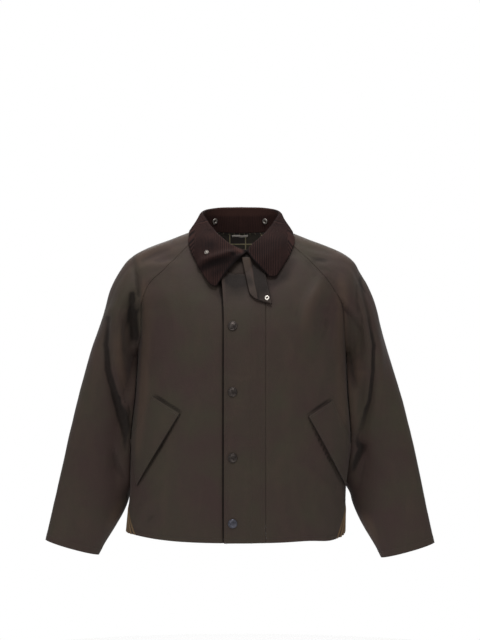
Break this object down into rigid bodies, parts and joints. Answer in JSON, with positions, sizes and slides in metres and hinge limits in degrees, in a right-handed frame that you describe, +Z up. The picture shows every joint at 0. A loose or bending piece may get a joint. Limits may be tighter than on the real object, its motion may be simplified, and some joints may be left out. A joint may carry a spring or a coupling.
{
  "type": "waxed cotton jacket",
  "caption": "Short boxy raglan-sleeved waxed cotton jacket with a corduroy collar, storm flap, slanted pocket flaps and gathered side gussets, in its worn form.",
  "frame": {"origin": "middle of the neck hole, level with the lowest point of the shoulder line beside the collar, where the jacket hangs on the wearer's shoulders", "axes": "+X to the wearer's left, -Y to the wearer's front, +Z up"},
  "size_m": [0.814, 0.2636, 0.7408],
  "materials": {
    "waxed_cotton": "dark olive-brown waxed cotton, slightly sheeny and mottled",
    "corduroy": "dark red-brown corduroy, matt pile",
    "check_lining": null,
    "cotton_tape": "plain pale cotton tape",
    "antique_metal": "antique, satin",
    "nickel": "bright nickel"
  },
  "bodies": {
    "root": {"front_right": "waxed_cotton", "front_left": "waxed_cotton", "storm_flap": "waxed_cotton", "back_panel": "waxed_cotton", "sleeve_right_front": "waxed_cotton", "sleeve_right_back": "waxed_cotton", "sleeve_left_front": "waxed_cotton", "sleeve_left_back": "waxed_cotton", "side_gusset_right": "waxed_cotton", "side_gusset_left": "waxed_cotton", "collar_stand": "corduroy", "collar_fall": "corduroy", "throat_tab": "waxed_cotton", "pocket_flap_right": "waxed_cotton", "pocket_flap_left": "waxed_cotton", "neck_lining": "check_lining", "hanger_tape": "cotton_tape", "press_stud_1": "antique_metal", "press_stud_2": "antique_metal", "press_stud_3": "antique_metal", "press_stud_4": "antique_metal", "collar_stud": "nickel", "tab_stud": "nickel", "hood_stud_right": "antique_metal", "hood_stud_left": "antique_metal"}
  },
  "joints": []
}
